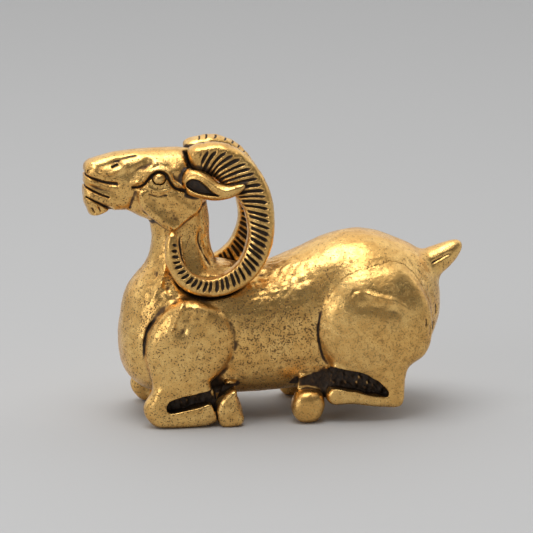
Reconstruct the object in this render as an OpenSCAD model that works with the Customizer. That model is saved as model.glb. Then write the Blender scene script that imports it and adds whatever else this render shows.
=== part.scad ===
// Couchant ram, a small cast brass table figure.
// X runs from the muzzle (-X) to the tail (+X), Y across the figure, Z up.
// The animal's left side faces -Y. The origin is on the table, under the middle of the figure.

/* [Trunk] */
// Half the width of the trunk at the loin
trunk_half_width = 8.2; // [7.6:0.1:8.8]
// Half the width of the neck at its narrowest
neck_half_width = 3.7; // [3.4:0.1:4.2]

/* [Head] */
// Half the width of the head across the cheeks
head_half_width = 4.0; // [3.6:0.1:4.2]
// Diameter of each eye
eye_d = 1.9; // [1.6:0.1:2.1]

/* [Horns] */
// Distance from the mid-plane to the middle of a horn, where the horns stand furthest apart
horn_spread = 6.4; // [6:0.1:6.8]
// Thickness of a horn across the figure, at its root
horn_thickness = 4.2; // [3.6:0.1:4.2]

/* [Legs] */
// Distance from the mid-plane to the middle of each folded leg
leg_offset = 7.6; // [7.2:0.1:7.8]
// How far the right foreleg is tucked ahead of the left one
right_foreleg_lead = 0.4; // [0:0.1:1]
// Thickness of each lower leg across the figure
cannon_thickness = 3.6; // [3.2:0.1:3.8]
// Diameter of each hoof across the figure
hoof_d = 4.2; // [3.8:0.1:4.4]

/* [Hidden] */

brass = "goldenrod";
dark_brass = "darkgoldenrod";
step = 0.02; // half the span over which a spine's direction is taken, in stations

// ---- Sweeps ----
// A station is [x, y, z, a, b]: a point of the spine, the section's half size across the spine in the
// XZ plane, and its half size along Y. Sections between stations follow a Catmull-Rom curve.
// A section turns with the spine, unless the direction it lies along is given as across = [x, z].
upright = [0, 1];
level = [1, 0];

function between(p, q, r, s, t) = 0.5 * (
    2 * q + (r - p) * t + (2 * p - 5 * q + 4 * r - s) * t * t + (3 * q - p - 3 * r + s) * t * t * t
);
function station(table, s) =
    let (last = len(table) - 1, i = min(floor(s), last - 1))
    between(table[max(i - 1, 0)], table[i], table[i + 1], table[min(i + 2, last)], s - i);
function bulge(c, power) = sign(c) * pow(abs(c), 2 / power);
function normal_to_spine(table, s) =
    let (
        d = station(table, min(s + step, len(table) - 1)) - station(table, max(s - step, 0)),
        run = norm([d[0], d[2]])
    )
    [-d[2] / run, d[0] / run];
function section(table, s, sides, power, fixed) =
    let (c = station(table, s), across = is_undef(fixed) ? normal_to_spine(table, s) : fixed)
    [for (k = [0 : sides - 1])
        let (u = c[3] * bulge(cos(360 * k / sides), power), v = c[4] * bulge(sin(360 * k / sides), power))
        [c[0] + across[0] * u, c[1] + v, c[2] + across[1] * u]];

// A closed solid through every section of the table; power 2 is an ellipse, and more is squarer
module sweep(table, rings, sides = 24, power = 2, across = undef) {
    last = len(table) - 1;
    points = [for (i = [0 : rings]) each section(table, last * i / rings, sides, power, across)];
    walls = [for (i = [0 : rings - 1], k = [0 : sides - 1])
        let (a = i * sides + k, b = i * sides + (k + 1) % sides)
        each [[a, b, a + sides], [b, b + sides, a + sides]]];
    first_cap = [for (k = [sides - 1 : -1 : 0]) k];
    last_cap = [for (k = [0 : sides - 1]) rings * sides + k];
    polyhedron(points, concat([first_cap], walls, [last_cap]), convexity = 6);
}

// One closed skin round a cut form, at the form's own size
module one_skin() {
    resize([0, 0, 0]) children();
}

// The same form on the animal's right side
module on_right() {
    mirror([0, 1, 0]) children();
}

module both_sides() {
    children();
    on_right() children();
}

module right_fore() {
    translate([-right_foreleg_lead, 0, 0]) on_right() children();
}

module both_forelegs() {
    children();
    right_fore() children();
}

module below_table() {
    translate([-40, -20, -10]) cube([80, 40, 10]);
}

// ---- Stations ----
trunk = [for (s = [
    [-22.5, 11.4, 1.2, 0.18], [-22.2, 11.4, 3.3, 0.42], [-21.4, 11.4, 5.1, 0.66],
    [-20.2, 11.6, 6.6, 0.80], [-18.2, 12.0, 8.2, 0.92], [-15.5, 12.6, 9.2, 0.98],
    [-12.0, 12.9, 9.8, 1.02], [-7.5, 12.8, 9.8, 1.02], [-2.5, 12.4, 9.3, 1.00], [2.5, 13.4, 10.0, 1.00],
    [7.5, 14.7, 10.9, 1.05], [12.5, 15.5, 11.1, 1.12], [17.0, 15.4, 10.0, 1.07], [20.5, 15.6, 8.2, 0.88],
    [22.9, 15.7, 5.6, 0.58], [24.0, 15.8, 3.2, 0.32], [24.4, 15.8, 1.2, 0.12]
]) [s[0], 0, s[1], s[2], s[3] * trunk_half_width]];

neck = [for (s = [
    [-13.8, 33.0, 3.6, 0.80], [-13.6, 29.0, 4.3, 0.86], [-13.5, 25.6, 4.2, 0.94],
    [-13.5, 22.0, 5.2, 1.26], [-13.8, 18.4, 7.4, 1.78], [-14.2, 14.6, 8.1, 2.10],
    [-14.4, 10.6, 8.0, 2.20]
]) [s[0], 0, s[1], s[2], s[3] * neck_half_width]];

skull = [for (s = [
    [-27.3, 35.8, 1.2, 0.40], [-26.7, 35.8, 1.9, 0.60], [-25.2, 35.8, 2.4, 0.70],
    [-22.6, 35.0, 3.8, 0.76], [-19.6, 34.3, 4.8, 0.90], [-16.6, 33.8, 5.4, 1.00],
    [-13.6, 33.6, 5.6, 1.00], [-11.4, 34.1, 4.8, 0.90], [-9.8, 34.9, 3.2, 0.66], [-9.2, 35.2, 1.6, 0.34]
]) [s[0], 0, s[1], s[2], s[3] * head_half_width]];

jaw = [for (s = [
    [-27.4, 33.1, 1.3, 0.40], [-26.8, 32.7, 2.1, 0.58], [-25.4, 32.4, 2.0, 0.66],
    [-23.0, 32.4, 2.0, 0.70], [-21.0, 32.3, 1.9, 0.70]
]) [s[0], 0, s[1], s[2], s[3] * head_half_width]];
chin_tuft = [
    [-25.5, 0, 32.6, 1.3, 1.6], [-25.8, 0, 31.4, 1.25, 1.5], [-25.95, 0, 30.3, 0.95, 1.1],
    [-25.9, 0, 29.6, 0.4, 0.5]
];
tail_spine = [
    [20.2, 0, 19.6, 2.7, 3.4], [22.2, 0, 20.7, 2.5, 3.0], [24.2, 0, 21.8, 2.1, 2.4],
    [25.9, 0, 22.9, 1.6, 1.8], [27.1, 0, 23.8, 1.0, 1.2], [27.6, 0, 24.2, 0.5, 0.6]
];

// A horn rises from the crown, sweeps back and down, and comes forward under the cheek
horn_arc = [for (s = [
    [-12.4, 0.42, 37.4, 1.8, 0.90], [-10.9, 0.42, 37.9, 2.2, 1.00], [-8.3, 0.47, 37.7, 2.6, 1.00],
    [-5.8, 0.56, 36.1, 2.75, 0.96], [-3.5, 0.66, 33.1, 2.35, 0.92], [-2.6, 0.76, 29.7, 2.02, 0.88],
    [-2.8, 0.86, 26.2, 1.85, 0.84], [-4.4, 0.94, 22.8, 1.7, 0.80], [-7.2, 0.99, 20.7, 1.5, 0.74],
    [-10.4, 1.00, 20.0, 1.35, 0.68], [-13.3, 0.98, 21.1, 1.3, 0.62], [-15.0, 0.95, 23.5, 1.15, 0.56],
    [-15.3, 0.92, 25.8, 1.05, 0.50], [-15.1, 0.89, 27.4, 0.9, 0.42], [-14.9, 0.87, 28.2, 0.5, 0.26]
]) [s[0], -s[1] * horn_spread, s[2], s[3], s[4] * horn_thickness / 2]];

ear_leaf = [
    [-13.6, -3.3, 35.0, 0.8, 0.9], [-12.7, -3.9, 35.0, 1.9, 1.5], [-11.1, -4.7, 34.6, 1.95, 1.5],
    [-9.3, -5.5, 33.8, 1.45, 1.2], [-7.3, -6.2, 33.7, 0.95, 0.85], [-5.9, -6.4, 34.2, 0.65, 0.6],
    [-5.0, -6.5, 34.7, 0.25, 0.3]
];
eye_at = [-16.7, -3.2, 35.1];

// Outline, as [x, z], of the cheeks, whose lower corners stand clear of the neck
cheek = [
    [-19.9, 33.4], [-19.6, 31.8], [-18.5, 30.4], [-17.2, 29.2], [-15.9, 28.3], [-15.1, 27.9],
    [-14.5, 28.2], [-13.0, 29.4], [-11.7, 30.3], [-10.8, 31.6], [-11.0, 33.6], [-16.0, 34.4]
];
cheek_share = 0.95; // width across the cheeks, as a share of the head's width

shoulder = [for (s = [
    [-13.4, 0.3, 18.6, 0.7, 1.0], [-12.9, 0.1, 17.7, 3.0, 1.8], [-12.6, 0, 16.8, 4.3, 2.1],
    [-12.7, 0, 15.4, 5.5, 2.3], [-12.9, 0, 13.7, 6.2, 2.5], [-13.1, 0, 12.2, 6.5, 2.5],
    [-13.2, 0, 10.5, 6.4, 2.5], [-13.4, 0, 8.9, 5.8, 2.4], [-13.9, 0, 7.2, 4.8, 2.2],
    [-14.8, 0, 5.9, 3.7, 2.1], [-16.4, 0, 4.9, 2.3, 2.0], [-17.6, 0, 3.6, 2.1, 1.9],
    [-17.8, 0, 2.4, 2.1, 1.8], [-17.6, 0, 1.2, 1.75, 1.6], [-17.3, 0, 0.4, 1.3, 1.3],
    [-17.2, 0, -0.3, 0.8, 1.0]
]) [s[0], s[1] - leg_offset + 0.2, s[2], s[3], s[4]]];
fore_cannon = [for (s = [
    [-18.0, 1.1, 1.2, 0.90], [-16.0, 1.1, 1.3, 1.00], [-14.2, 1.1, 1.3, 1.00], [-12.0, 1.4, 1.5, 1.00],
    [-10.5, 1.7, 1.6, 0.95], [-9.7, 2.1, 1.3, 0.75], [-9.5, 2.2, 0.8, 0.45]
]) [s[0], -leg_offset, s[1], s[2], s[3] * cannon_thickness / 2]];
fore_hoof = [for (s = [
    [-7.1, 0.9, 6.6, 0.9, 0.50], [-7.3, 0.6, 5.4, 1.1, 0.66], [-7.6, 0.2, 4.3, 1.45, 0.84],
    [-7.6, 0, 3.2, 1.8, 0.98], [-7.5, 0, 2.0, 2.05, 1.00], [-7.4, 0, 0.9, 1.9, 0.84],
    [-7.3, 0, -0.3, 1.1, 0.45]
]) [s[0], s[1] - leg_offset, s[2], s[3], s[4] * hoof_d / 2]];

thigh = [for (s = [
    [14.0, 2.6, 23.8, 1.4, 0.6], [13.9, 1.7, 22.6, 3.9, 1.5], [13.9, 0.9, 20.8, 5.8, 2.3],
    [13.8, 0.2, 18.2, 7.4, 3.0], [13.8, 0, 15.6, 8.3, 3.3], [13.8, 0, 13.0, 8.5, 3.3],
    [13.8, 0, 10.8, 8.1, 3.1], [13.9, 0, 9.1, 7.2, 2.8], [13.6, 0, 7.9, 5.4, 2.5],
    [14.8, 0, 6.9, 3.6, 2.3], [16.0, 0, 5.9, 2.2, 2.1], [16.4, 0, 4.4, 1.7, 1.8],
    [16.4, 0, 2.9, 1.6, 1.6], [16.3, 0, 1.7, 1.1, 1.0]
]) [s[0], s[1] - leg_offset + 0.2, s[2], s[3], s[4]]];
hind_cannon = [for (s = [
    [16.6, 2.8, 1.1, 0.90], [15.0, 2.9, 1.1, 1.00], [13.2, 3.1, 1.15, 1.00], [10.6, 3.6, 1.25, 1.00],
    [8.4, 3.9, 1.45, 0.95], [7.2, 3.9, 1.3, 0.75], [6.9, 3.9, 0.8, 0.45]
]) [s[0], -leg_offset, s[1], s[2], s[3] * cannon_thickness / 2]];
hind_hoof = [for (s = [
    [3.8, 1.2, 7.0, 1.1, 0.44], [3.8, 0.8, 5.8, 1.4, 0.60], [3.9, 0.3, 4.6, 1.85, 0.80],
    [3.95, 0, 3.6, 2.35, 0.96], [3.95, 0, 2.3, 2.5, 1.00], [3.95, 0, 1.0, 2.1, 0.86],
    [3.95, 0, -0.3, 1.2, 0.45]
]) [s[0], s[1] - leg_offset, s[2], s[3], s[4] * hoof_d / 2]];

// Outlines, as [x, z], of the thin walls that close the folded legs behind their outer faces
fore_web = [
    [-17.2, 0.2], [-16.8, 4.6], [-13.6, 6.2], [-9.6, 6.6], [-9.2, 3.4], [-9.8, 1.2], [-12.0, 0.2]
];
hind_web = [[6.4, 3.6], [6.6, 8.4], [12.0, 8.2], [16.4, 6.4], [16.6, 2.4], [12.0, 2.6], [8.2, 2.9]];
web_outer = 1.0;  // how far inside the middle of the leg a web's outer face lies
web_depth = 2.6;  // thickness of a web, most of it buried in the trunk

// ---- Whole forms, before they are fitted to each other ----
module trunk_form() { sweep(trunk, 32, 26, 2.15, upright); }
module neck_form() { sweep(neck, 18, 26, 2.2); }
module skull_form() { sweep(skull, 24, 22, 2.3, upright); }
module cheek_form() {
    rotate([90, 0, 0]) linear_extrude(2 * cheek_share * head_half_width, center = true) polygon(cheek);
}
module jaw_form() { sweep(jaw, 10, 18, 2.3, upright); }
module beard_form() { sweep(chin_tuft, 8, 14); }
module tail_form() { sweep(tail_spine, 12, 18); }
module horn_form() { sweep(horn_arc, 54, 14, 2.8); }
module ear_form() { sweep(ear_leaf, 18, 14); }
module eye_form() { translate(eye_at) sphere(d = eye_d, $fn = 20); }
module shoulder_form() { sweep(shoulder, 22, 20, 2.2, level); }
module fore_cannon_form() { sweep(fore_cannon, 12, 14, 2.6); }
module fore_hoof_form() { sweep(fore_hoof, 12, 16); }
module thigh_form() { sweep(thigh, 22, 20, 2.2, level); }
module hind_cannon_form() { sweep(hind_cannon, 12, 14, 2.6); }
module hind_hoof_form() { sweep(hind_hoof, 12, 16); }

module web_form(outline) {
    translate([0, -leg_offset + web_outer + web_depth, 0]) rotate([90, 0, 0]) linear_extrude(web_depth)
        polygon(outline);
}

// Everything the neck piece may fill: above a slanting joint, and ahead of the withers
module neck_side_of_joint() {
    translate([-13.5, 0, 16.6]) rotate([0, -18, 0]) translate([-30, -20, 0]) cube([38.5, 40, 40]);
}

// ---- The fitted pieces ----
module torso() {
    color(brass) one_skin() difference() {
        trunk_form();
        neck_side_of_joint();
        tail_form();
        both_forelegs() {
            shoulder_form();
            fore_hoof_form();
        }
        both_sides() {
            thigh_form();
            horn_form();
            hind_hoof_form();
        }
    }
}

module neck() {
    color(brass) one_skin() difference() {
        intersection() {
            union() {
                neck_form();
                trunk_form();
            }
            neck_side_of_joint();
        }
        skull_form();
        cheek_form();
        both_forelegs() shoulder_form();
        both_sides() horn_form();
    }
}

module head() {
    color(brass) one_skin() difference() {
        union() {
            skull_form();
            cheek_form();
        }
        both_sides() {
            horn_form();
            ear_form();
            eye_form();
        }
    }
}

module lower_jaw() {
    color(brass) one_skin() difference() {
        jaw_form();
        skull_form();
        cheek_form();
    }
}

module beard() {
    color(brass) one_skin() difference() {
        beard_form();
        jaw_form();
        skull_form();
    }
}

module tail() {
    color(brass) tail_form();
}

module horn() {
    color(dark_brass) horn_form();
}

module ear() {
    color(dark_brass) one_skin() difference() {
        ear_form();
        horn_form();
    }
}

module eye() {
    color(dark_brass) one_skin() eye_form();
}

module front_upper_leg() {
    color(brass) difference() {
        one_skin() difference() {
            shoulder_form();
            horn_form();
        }
        below_table();
    }
}

module front_cannon() {
    color(brass) difference() {
        one_skin() difference() {
            union() {
                fore_cannon_form();
                web_form(fore_web);
            }
            trunk_form();
            shoulder_form();
            fore_hoof_form();
        }
        below_table();
    }
}

module front_hoof() {
    color(dark_brass) difference() {
        one_skin() fore_hoof_form();
        below_table();
    }
}

module rear_upper_leg() {
    color(brass) one_skin() thigh_form();
}

module rear_cannon() {
    color(brass) one_skin() difference() {
        union() {
            hind_cannon_form();
            web_form(hind_web);
        }
        trunk_form();
        thigh_form();
        hind_hoof_form();
    }
}

module rear_hoof() {
    color(dark_brass) difference() {
        one_skin() hind_hoof_form();
        below_table();
    }
}

torso();
neck();
head();
lower_jaw();
beard();
tail();
horn();  // left_horn
on_right() horn();  // right_horn
ear();  // left_ear
on_right() ear();  // right_ear
eye();  // left_eye
on_right() eye();  // right_eye
front_upper_leg();  // front_left_upper_leg
front_cannon();  // front_left_cannon
front_hoof();  // front_left_hoof
right_fore() front_upper_leg();  // front_right_upper_leg
right_fore() front_cannon();  // front_right_cannon
right_fore() front_hoof();  // front_right_hoof
rear_upper_leg();  // rear_left_upper_leg
rear_cannon();  // rear_left_cannon
rear_hoof();  // rear_left_hoof
on_right() rear_upper_leg();  // rear_right_upper_leg
on_right() rear_cannon();  // rear_right_cannon
on_right() rear_hoof();  // rear_right_hoof
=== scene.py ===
"""The looks of the cast brass ram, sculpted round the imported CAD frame.

The metal's skin is worked as clay: the CAD nodes become a grid of signed distances, which is smoothed, then
grooved, ridged and hollowed like the wax of the real casting. It is then cut back into one piece for each CAD
node. The ringed horns are swept, because their rings are finer than the clay. Lengths are millimetres in the
CAD frame, and become metres when a mesh is made; the studio, at the end, is in metres throughout.
"""

import math

import bpy
import numpy as np
import openvdb
from mathutils import Matrix, Vector


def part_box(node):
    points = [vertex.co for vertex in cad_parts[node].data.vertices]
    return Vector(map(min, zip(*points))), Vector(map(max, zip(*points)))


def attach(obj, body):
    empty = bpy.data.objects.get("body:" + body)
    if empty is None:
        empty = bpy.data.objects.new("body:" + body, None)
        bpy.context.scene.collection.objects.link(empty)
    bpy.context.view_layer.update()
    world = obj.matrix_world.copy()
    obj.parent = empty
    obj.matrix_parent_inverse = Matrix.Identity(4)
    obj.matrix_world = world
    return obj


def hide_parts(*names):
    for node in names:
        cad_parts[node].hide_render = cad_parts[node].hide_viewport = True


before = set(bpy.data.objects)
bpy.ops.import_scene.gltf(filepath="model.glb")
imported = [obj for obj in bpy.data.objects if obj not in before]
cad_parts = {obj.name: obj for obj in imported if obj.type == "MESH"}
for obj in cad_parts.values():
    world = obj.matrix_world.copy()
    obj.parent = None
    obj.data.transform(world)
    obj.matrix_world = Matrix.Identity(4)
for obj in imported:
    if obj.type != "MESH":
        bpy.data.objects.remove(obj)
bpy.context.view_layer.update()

MM = 0.001

# Grid steps of the three clays
BODY_STEP = 0.14
HEAD_STEP = 0.09
EAR_STEP = 0.06

ENDS, SIDES = ("front", "rear"), ("left", "right")
LEGS = [f"{end}_{side}_{part}" for end in ENDS for side in SIDES for part in ("upper_leg", "cannon", "hoof")]
BODY_PIECES = ["torso", "neck", "tail"] + LEGS
HEAD_PIECES = ["head", "lower_jaw", "beard", "left_eye", "right_eye"]
HORNS = ["left_horn", "right_horn"]


# ---- Clay ----
def ramp(value, low, high):
    """0 below low and 1 above high, with a smooth rise between; low may be the larger."""
    t = np.clip((value - low) / (high - low), 0, 1)
    return t * t * (3 - 2 * t)


class Clay:
    """A box of the CAD frame with a grid of points. x, y and z are their coordinates, shaped to broadcast."""

    def __init__(self, low, high, step):
        self.low, self.high, self.step = np.array(low, float), np.array(high, float), step
        self.first = np.floor(self.low / step + 1e-6).astype(int)
        self.shape = tuple(int(n) for n in np.ceil(self.high / step - 1e-6).astype(int) - self.first + 1)
        axes = [(self.first[a] + np.arange(self.shape[a])) * step for a in range(3)]
        self.x, self.y, self.z = (
            axes[a].astype(np.float32).reshape([-1 if b == a else 1 for b in range(3)]) for a in range(3))

    def part(self, low, high):
        """A smaller box of this clay, and the slices of this grid that it covers."""
        small = Clay(np.maximum(low, self.low), np.minimum(high, self.high), self.step)
        start = small.first - self.first
        return small, tuple(slice(s, s + n) for s, n in zip(start, small.shape))

    def corner(self):
        return tuple(int(i) for i in self.first)

    def distance(self, points, triangles, quads, reach):
        """The signed distance to a closed mesh, as far as reach."""
        grid = openvdb.FloatGrid.createLevelSetFromPolygons(
            points, triangles=triangles, quads=quads, halfWidth=reach / self.step,
            transform=openvdb.createLinearTransform(self.step))
        field = np.empty(self.shape, np.float32)
        grid.copyToArray(field, ijk=self.corner())
        return field

    def to_node(self, name, reach):
        """The signed distance to a CAD node."""
        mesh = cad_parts[name].data
        points = np.empty(len(mesh.vertices) * 3, np.float32)
        mesh.vertices.foreach_get("co", points)
        mesh.calc_loop_triangles()
        corners = np.empty(len(mesh.loop_triangles) * 3, np.int32)
        mesh.loop_triangles.foreach_get("vertices", corners)
        triangles = corners.reshape(-1, 3).astype(np.uint32)
        no_quads = np.empty((0, 4), np.uint32)
        return self.distance(points.reshape(-1, 3) / MM, triangles, no_quads, reach)

    def skin(self, field):
        """The points and quads where a field is 0."""
        grid = openvdb.FloatGrid(1.0)
        grid.transform = openvdb.createLinearTransform(self.step)
        grid.copyFromArray(np.ascontiguousarray(field, np.float32), ijk=self.corner())
        points, _, quads = grid.convertToPolygons(isovalue=0.0, adaptivity=0.0)
        return points, quads

    def one_skin(self, field, reach):
        """The same shape with true distances, and without the walls between the nodes inside it."""
        points, quads = self.skin(field)
        return self.distance(points, np.empty((0, 3), np.uint32), quads, reach)

    def sample(self, field, points):
        """The field at any points, by linear interpolation."""
        place = points / self.step - self.first
        cell = np.clip(np.floor(place).astype(int), 0, np.array(self.shape) - 2)
        share = place - cell
        total = np.zeros(len(points))
        for corner in np.ndindex(2, 2, 2):
            weight = np.prod(np.where(corner, share, 1 - share), axis=1)
            total += weight * field[tuple((cell + corner).T)]
        return total

    def slope(self, field, points):
        """The direction in which a field rises at each point."""
        rise = [self.sample(field, points + offset) - self.sample(field, points - offset)
                for offset in np.eye(3) * self.step * 0.8]
        rise = np.stack(rise, axis=1)
        return rise / np.maximum(np.linalg.norm(rise, axis=1, keepdims=True), 1e-9)

    def blur(self, field, width):
        """The field smoothed by a bell curve of that width."""
        sigma = width / self.step
        reach = max(1, math.ceil(2.4 * sigma))
        weights = np.exp(-0.5 * (np.arange(-reach, reach + 1) / sigma) ** 2)
        weights /= weights.sum()
        for axis in range(3):
            padding = [(reach, reach) if a == axis else (0, 0) for a in range(3)]
            padded = np.pad(field, padding, mode="edge")
            field = np.zeros(self.shape, np.float32)
            for k, weight in enumerate(weights):
                run = tuple(slice(k, k + self.shape[a]) if a == axis else slice(None) for a in range(3))
                field += np.float32(weight) * padded[run]
        return field

    def waves(self, seed, shortest, longest, count=26):
        """A gentle unevenness of about unit height, from seeded waves in every direction."""
        rng = np.random.default_rng(seed)
        total = np.zeros(self.shape, np.float32)
        for _ in range(count):
            direction = rng.normal(size=3)
            turns = 2 * math.pi / rng.uniform(shortest, longest) * direction / np.linalg.norm(direction)
            phase = rng.uniform(0, 2 * math.pi)
            across = np.exp(1j * (turns[0] * self.x + turns[1] * self.y + phase)).astype(np.complex64)
            total += (across * np.exp(1j * turns[2] * self.z).astype(np.complex64)).real
        return total * math.sqrt(2 / count)


def smooth_line(points, cuts=6):
    """A Catmull-Rom curve through a few points."""
    p = np.array(points, float)
    p = np.vstack([2 * p[0] - p[1], p, 2 * p[-1] - p[-2]])
    t = np.linspace(0, 1, cuts, endpoint=False)[:, None]
    out = [0.5 * (2 * b + (c - a) * t + (2 * a - 5 * b + 4 * c - d) * t ** 2
                  + (3 * b - a - 3 * c + d) * t ** 3)
           for a, b, c, d in zip(p, p[1:], p[2:], p[3:])]
    return np.vstack(out + [p[-2:-1]])


def along(clay, points):
    """For each (x, z) of a clay, the distance to a curve and the share of its length passed by there."""
    line = smooth_line(points)
    lengths = np.linalg.norm(np.diff(line, axis=0), axis=1)
    before = np.concatenate([[0], np.cumsum(lengths)])
    x, z = clay.x[:, 0, :], clay.z[0]
    best = np.full((clay.shape[0], clay.shape[2]), 1e9, np.float32)
    share = np.zeros_like(best)
    for start, end, length, done in zip(line, line[1:], lengths, before):
        run = end - start
        t = np.clip(((x - start[0]) * run[0] + (z - start[1]) * run[1]) / max(length, 1e-9) ** 2, 0, 1)
        gap = np.hypot(x - start[0] - t * run[0], z - start[1] - t * run[1])
        nearer = gap < best
        best = np.where(nearer, gap, best)
        share = np.where(nearer, (done + t * length) / before[-1], share)
    return best, share


def outline_distance(clay, points):
    """For each (x, z) of a clay, the signed distance to a closed outline: below 0 is inside it."""
    loop = list(points) + [points[0]]
    line = smooth_line(loop)
    gap, _ = along(clay, loop)
    x, z = clay.x[:, 0, :], clay.z[0]
    inside = np.zeros(gap.shape, bool)
    for (x0, z0), (x1, z1) in zip(line, line[1:]):
        if z0 != z1:
            crosses = (z0 > z) != (z1 > z)
            inside ^= crosses & (x < (x1 - x0) * (z - z0) / (z1 - z0) + x0)
    return np.where(inside, -gap, gap)


def stroke(clay, points, depth, width, end_width=None, fade=0.0):
    """A groove drawn along a curve on the flank, as an (x, z) map. Depth below 0 makes a ridge.

    Fade is the share of the curve, at each end, over which the groove rises to its full depth."""
    gap, share = along(clay, points)
    wide = width + ((end_width or width) - width) * share
    if fade:
        depth = depth * ramp(share, 0, fade) * ramp(share, 1, 1 - fade)
    return depth * np.exp(-(gap / wide) ** 2)


def flanks(clay, flat, start, soft=0.7):
    """An (x, z) map laid on both flanks, from |y| = start outwards."""
    side = ramp(np.abs(clay.y), start - soft, start)
    return flat[:, None, :] * side


def plate(clay, outline, inner, outer, rounding):
    """The distance to two mirrored plates of an (x, z) outline, from |y| inner to outer, with round edges."""
    across = outline_distance(clay, outline)[:, None, :] + rounding
    out = np.abs(clay.y)
    through = np.maximum(out - outer, inner - out) + rounding
    outside = np.hypot(np.maximum(across, 0), np.maximum(through, 0))
    return outside + np.minimum(np.maximum(across, through), 0) - rounding


def ripples(points, seed, shortest, longest, count=24):
    """A gentle unevenness of about unit height at some points."""
    rng = np.random.default_rng(seed)
    direction = rng.normal(size=(3, count))
    turns = 2 * math.pi / rng.uniform(shortest, longest, count) * direction
    turns /= np.linalg.norm(direction, axis=0)
    waves = np.cos(points @ turns + rng.uniform(0, 2 * math.pi, count))
    return waves.sum(axis=1) * math.sqrt(2 / count)


def crease(first, second, depth, width):
    """A groove where two shapes meet, from their distances."""
    return depth * np.exp(-(first ** 2 + second ** 2) / width ** 2)


def near(distance, width):
    """1 on a surface, falling away within about that distance of it on both sides."""
    return np.exp(-(distance / width) ** 2)


def region(x, z, centre, size):
    """1 at a centre (x, z), falling away over a size along each axis."""
    return np.exp(-((x - centre[0]) / size[0]) ** 2 - ((z - centre[1]) / size[1]) ** 2)


def outside_near(distance, width):
    """1 on a surface and inside it, falling away outside it."""
    return near(np.maximum(distance, 0), width)


# ---- Meshes ----
def largest_part(points, quads):
    """The points and quads of the largest connected part of a mesh."""
    label = np.arange(len(points))
    while True:
        low = label[quads].min(axis=1)
        new = label.copy()
        for k in range(4):
            np.minimum.at(new, quads[:, k], low)
        new = new[new]
        if (new == label).all():
            break
        label = new
    names, counts = np.unique(label[quads[:, 0]], return_counts=True)
    keep = label == names[np.argmax(counts)]
    number = np.cumsum(keep) - 1
    return points[keep], number[quads[keep[quads[:, 0]]]]


def outward(points, quads):
    """The quads turned so that their normals point out of the closed mesh."""
    a, b, c, d = (points[quads[:, k]] for k in range(4))
    volume = np.einsum("ij,ij->i", a, np.cross(c - a, d - b)).sum()
    return quads if volume > 0 else quads[:, ::-1]


def pitting(points, normals):
    """How thickly the cast skin is pitted: most on the flank, and least on top, where it is polished."""
    x, _, z = points.T
    flank = region(x, z, (-0.5, 14.5), (8.5, 5.5))
    chest = region(x, z, (-19.5, 14.0), (3.0, 7.0))
    rear = region(x, z, (16.0, 13.0), (8.0, 6.0))
    polished = ramp(normals[:, 2], 0.5, 0.9)
    return np.clip(0.55 + 0.45 * flank + 0.20 * chest + 0.45 * rear, 0, 1) * (1 - 0.7 * polished)


def add_piece(name, node, points, quads, patina_and_shade, normals=None):
    """A closed mesh that stands for one CAD node."""
    quads = outward(points, quads)
    mesh = bpy.data.meshes.new(name)
    mesh.vertices.add(len(points))
    mesh.vertices.foreach_set("co", (points * MM).astype(np.float32).ravel())
    mesh.loops.add(quads.size)
    mesh.loops.foreach_set("vertex_index", quads.astype(np.int32).ravel())
    mesh.polygons.add(len(quads))
    mesh.polygons.foreach_set("loop_start", np.arange(0, quads.size, 4, dtype=np.int32))
    mesh.update(calc_edges=True)
    mesh.polygons.foreach_set("use_smooth", np.ones(len(quads), bool))
    mesh.attributes.new("patina_and_shade", "FLOAT", "POINT").data.foreach_set("value", patina_and_shade.astype(np.float32))
    if normals is None:
        normals = np.empty(len(points) * 3, np.float32)
        mesh.vertices.foreach_get("normal", normals)
        normals = normals.reshape(-1, 3)
    else:
        mesh.normals_split_custom_set_from_vertices(normals.astype(np.float32))
    pits = pitting(points, normals).astype(np.float32)
    mesh.attributes.new("pitting", "FLOAT", "POINT").data.foreach_set("value", pits)
    piece = bpy.data.objects.new(name, mesh)
    bpy.context.scene.collection.objects.link(piece)
    piece.data.materials.append(pick_material(node))
    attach(piece, "root")
    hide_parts(node)


class Partition:
    """Which CAD node each part of a clay belongs to.

    nearest is the distance to the nearest node, owner its number, and second the distance to the next one."""

    def __init__(self, clay, names, reach):
        self.clay, self.names = clay, names
        self.fields = {}
        self.nearest = np.full(clay.shape, reach, np.float32)
        self.second = np.full(clay.shape, reach, np.float32)
        self.owner = np.full(clay.shape, -1, np.int8)
        for number, name in enumerate(names):
            field = clay.to_node(name, reach)
            closer = field < self.nearest
            self.second = np.where(closer, self.nearest, np.minimum(self.second, field))
            self.nearest = np.where(closer, field, self.nearest)
            self.owner[closer] = number
            self.fields[name] = field.astype(np.float16)

    def distance(self, name):
        return self.fields[name].astype(np.float32)

    def cut(self, name, metal, patina_and_shade_map, overlap=0.06, rank_step=0.008, margin=0.6):
        """Add the piece of metal that belongs to a node.

        Neighbours overlap a little, and a step between their skins keeps one just under the other."""
        low, high = (np.array(corner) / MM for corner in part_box(name))
        clay, window = self.clay.part(low - margin, high + margin)
        number = self.names.index(name)
        others = np.where(self.owner[window] == number, self.second[window], self.nearest[window])
        own = (self.distance(name)[window] - others) / 2 - overlap
        skin_field = metal[window] + rank_step * number
        piece_field = np.maximum(skin_field, own)
        points, quads = clay.skin(piece_field)
        points, quads = largest_part(points, quads)
        on_skin = np.abs(clay.sample(skin_field, points)) < 0.25 * clay.step
        skin_normals, cut_normals = clay.slope(metal[window], points), clay.slope(piece_field, points)
        normals = np.where(on_skin[:, None], skin_normals, cut_normals)
        add_piece(f"brass_{name}", name, points, quads, clay.sample(patina_and_shade_map[window], points), normals)


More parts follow.
